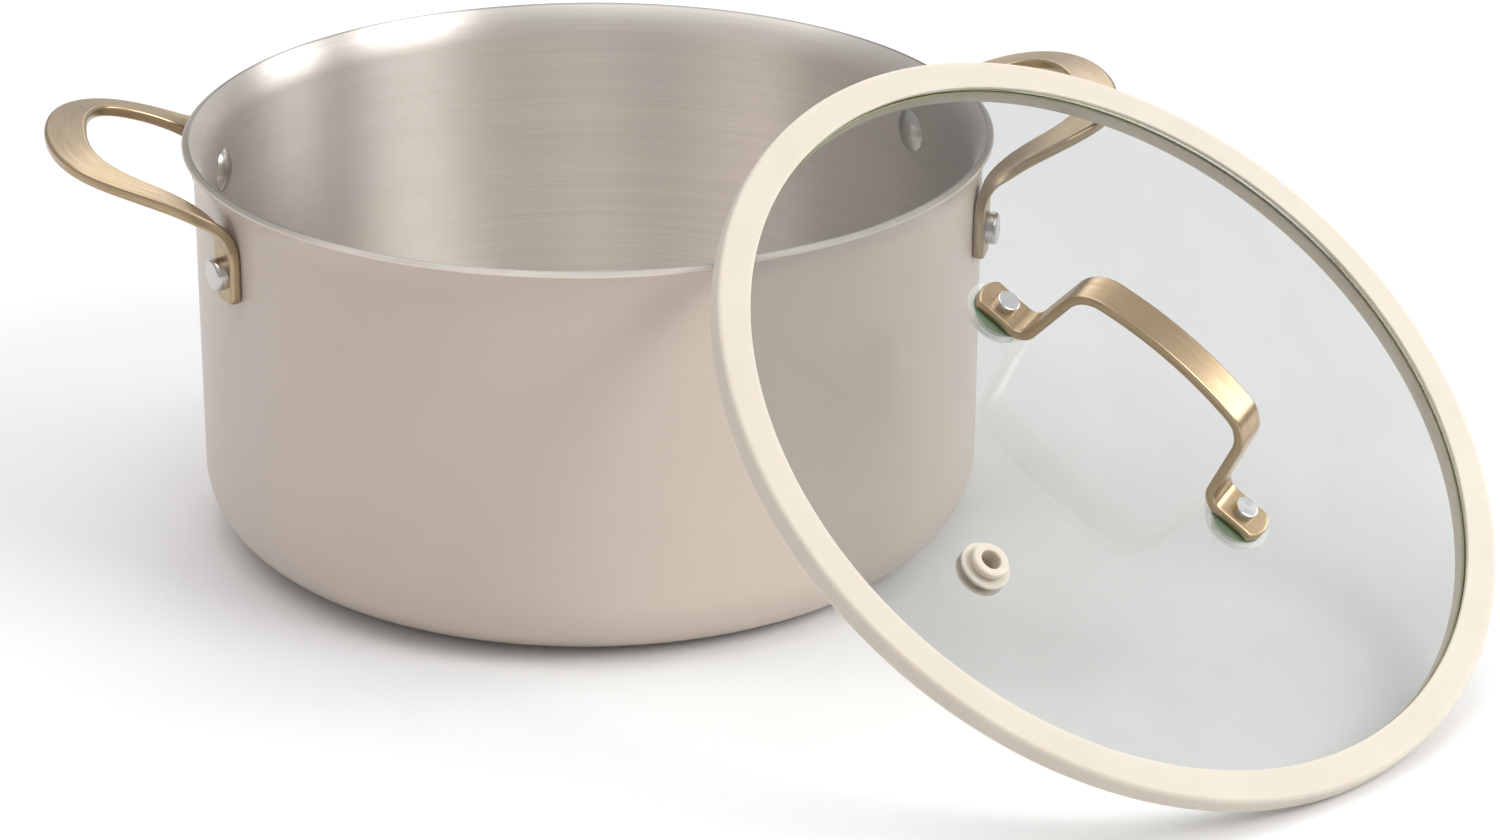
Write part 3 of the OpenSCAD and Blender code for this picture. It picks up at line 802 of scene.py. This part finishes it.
bore = STUD_D / 2 + SEAT
under = -GLASS_LOW - UNDER_T
cup_top = -0.2 * MM
for side, x in (("left", -STUD_X), ("right", STUD_X)):
    turned("stud_" + side, "lid_stud_" + side, [
        (0, under - STUD_FOOT_H, 0), (STUD_FOOT_D / 2, under - STUD_FOOT_H, 0.6 * MM),
        (STUD_FOOT_D / 2, under, 0.2 * MM), (STUD_D / 2, under, 0), (STUD_D / 2, STRAP_T, 0),
        (STUD_HEAD_D / 2, STRAP_T, 0.1 * MM),
        (STUD_HEAD_D / 2, STRAP_T + STUD_HEAD_H, 0.35 * MM),
        (0, STRAP_T + STUD_HEAD_H, 0)], PIN_SEGMENTS, x)
    turned("clear_cup_" + side, "clear_washer_" + side, [
        (bore, -GLASS_DROP + SEAT, 0), (WASHER_D / 2, -GLASS_DROP + SEAT, 0.15 * MM),
        (WASHER_D / 2, cup_top, 0.4 * MM), (PAD_D / 2 + SEAT, cup_top, 0.15 * MM),
        (PAD_D / 2 + SEAT, -PAD_T - SEAT, 0), (bore, -PAD_T - SEAT, 0)], WASHER_SEGMENTS, x)
    turned("pad_" + side, "green_pad_" + side, [
        (bore, -PAD_T, 0), (PAD_D / 2, -PAD_T, 0.1 * MM), (PAD_D / 2, -SEAT, 0.25 * MM),
        (bore, -SEAT, 0)], WASHER_SEGMENTS, x)
    turned("bush_" + side, "hole_bush_" + side, [
        (bore, -GLASS_LOW + SEAT, 0), (BUSH_D / 2, -GLASS_LOW + SEAT, 0),
        (BUSH_D / 2, -GLASS_DROP - SEAT, 0), (bore, -GLASS_DROP - SEAT, 0)], PIN_SEGMENTS, x)
    turned("seal_" + side, "under_washer_" + side, [
        (bore, under + SEAT, 0), (UNDER_D / 2, under + SEAT, 0.3 * MM),
        (UNDER_D / 2, -GLASS_LOW - SEAT, 0.1 * MM), (bore, -GLASS_LOW - SEAT, 0)],
        WASHER_SEGMENTS, x)

vent_top = VENT_RISE - GLASS_DROP
flange_low = -GLASS_LOW - VENT_FLANGE_H
turned("vent_collar", "vent_grommet", [
    (VENT_D / 2, flange_low, 0.3 * MM), (VENT_FLANGE_D / 2, flange_low, 0.5 * MM),
    (VENT_FLANGE_D / 2, -GLASS_LOW, 0.1 * MM), (VENT_NECK_D / 2, -GLASS_LOW, 0),
    (VENT_NECK_D / 2, -GLASS_DROP, 0), (VENT_FLANGE_D / 2, -GLASS_DROP, 0.1 * MM),
    (VENT_FLANGE_D / 2, VENT_FLANGE_H - GLASS_DROP, 0.5 * MM),
    (VENT_NECK_D / 2, VENT_FLANGE_H - GLASS_DROP, 0.3 * MM),
    (VENT_NECK_D / 2, vent_top - VENT_TOP_H, 0.25 * MM),
    (VENT_TOP_D / 2, vent_top - VENT_TOP_H, 0.4 * MM),
    (VENT_TOP_D / 2, vent_top, 0.7 * MM), (VENT_D / 2, vent_top, 0.5 * MM)],
    WASHER_SEGMENTS, VENT_XY.x, VENT_XY.y)


# ---------------------------------------------------------------------------
# Stage, lights and camera
# ---------------------------------------------------------------------------

FLOOR_SIZE, FLOOR_GAP = 14, 0.0001
WHITE = (1, 1, 1)
# name, place, point it faces, side of the square in metres, watts, colour
LIGHTS = (
    ("key", (1.55, -1.08, 1.48), (0, 0, 0.06), 1.15, 25, (1, 0.992, 0.98)),
    ("side", (2.3, 0.25, 1.0), (0.05, -0.05, 0.08), 0.9, 14, WHITE),
    ("overhead", (-0.35, 0.3, 2.4), (0, 0, 0), 2.6, 31, WHITE),
    ("back", (0.5, 2.3, 1.5), (0, 0, 0.05), 1.2, 8, WHITE),
)
# The room's brightness at the horizon and straight up
SKY_LOW, SKY_HIGH = 0.42, 0.75
# The photograph's viewpoint, solved from it: the way it looks in degrees from +X and from level,
# the lens for a 36 mm sensor, and how far the picture is shifted on it
CAMERA_AT = (-0.1680, -1.2897, 0.5911)
LOOK, PITCH = math.radians(81.25), math.radians(-23.27)
SENSOR, LENS, SHIFT = 36, 105.97, (0.0443, -0.0057)


def link(name, data):
    obj = bpy.data.objects.new(name, data)
    bpy.context.scene.collection.objects.link(obj)
    return obj


def turn_to(obj, way):
    """Turns a light or a camera so that it looks along way."""
    obj.rotation_euler = way.to_track_quat("-Z", "Y").to_euler()


half_floor = FLOOR_SIZE / 2
floor_mesh = bpy.data.meshes.new("floor")
floor_mesh.from_pydata([(x * half_floor, y * half_floor, 0)
                        for x, y in ((-1, -1), (1, -1), (1, 1), (-1, 1))], [], [(0, 1, 2, 3)])
floor_mesh.materials.append(floor_paint())
floor = link("floor", floor_mesh)
floor.location.z = CAD_BOX[0].z - FLOOR_GAP

for name, place, aim, size, watts, colour in LIGHTS:
    light = bpy.data.lights.new(name, "AREA")
    light.energy, light.size, light.color = watts, size, colour
    lamp = link(name, light)
    lamp.location = place
    turn_to(lamp, Vector(aim) - Vector(place))

# A pale room, brighter overhead than at the horizon
world = bpy.data.worlds.new("studio")
bpy.context.scene.world = world
world.use_nodes = True
sky, sky_links = world.node_tree.nodes, world.node_tree.links
sky_way = sky.new("ShaderNodeTexCoord")
sky_parts = sky.new("ShaderNodeSeparateXYZ")
sky_level = sky.new("ShaderNodeMapRange")
for key, value in (("From Min", 0.0), ("From Max", 1.0),
                   ("To Min", SKY_LOW), ("To Max", SKY_HIGH)):
    sky_level.inputs[key].default_value = value
sky_links.new(sky_way.outputs["Generated"], sky_parts.inputs[0])
sky_links.new(sky_parts.outputs[2], sky_level.inputs["Value"])
sky_links.new(sky_level.outputs[0], sky["Background"].inputs["Strength"])
sky["Background"].inputs["Color"].default_value = (*WHITE, 1)

camera = bpy.data.cameras.new("camera")
camera.sensor_width, camera.lens = SENSOR, LENS
camera.shift_x, camera.shift_y = SHIFT
camera.clip_start, camera.clip_end = 0.05, 50
camera_obj = link("camera", camera)
camera_obj.location = CAMERA_AT
turn_to(camera_obj, Vector((
    math.cos(LOOK) * math.cos(PITCH), math.sin(LOOK) * math.cos(PITCH), math.sin(PITCH))))
bpy.context.scene.camera = camera_obj

view = bpy.context.scene.view_settings
view.view_transform = "Standard"
view.look = "None"
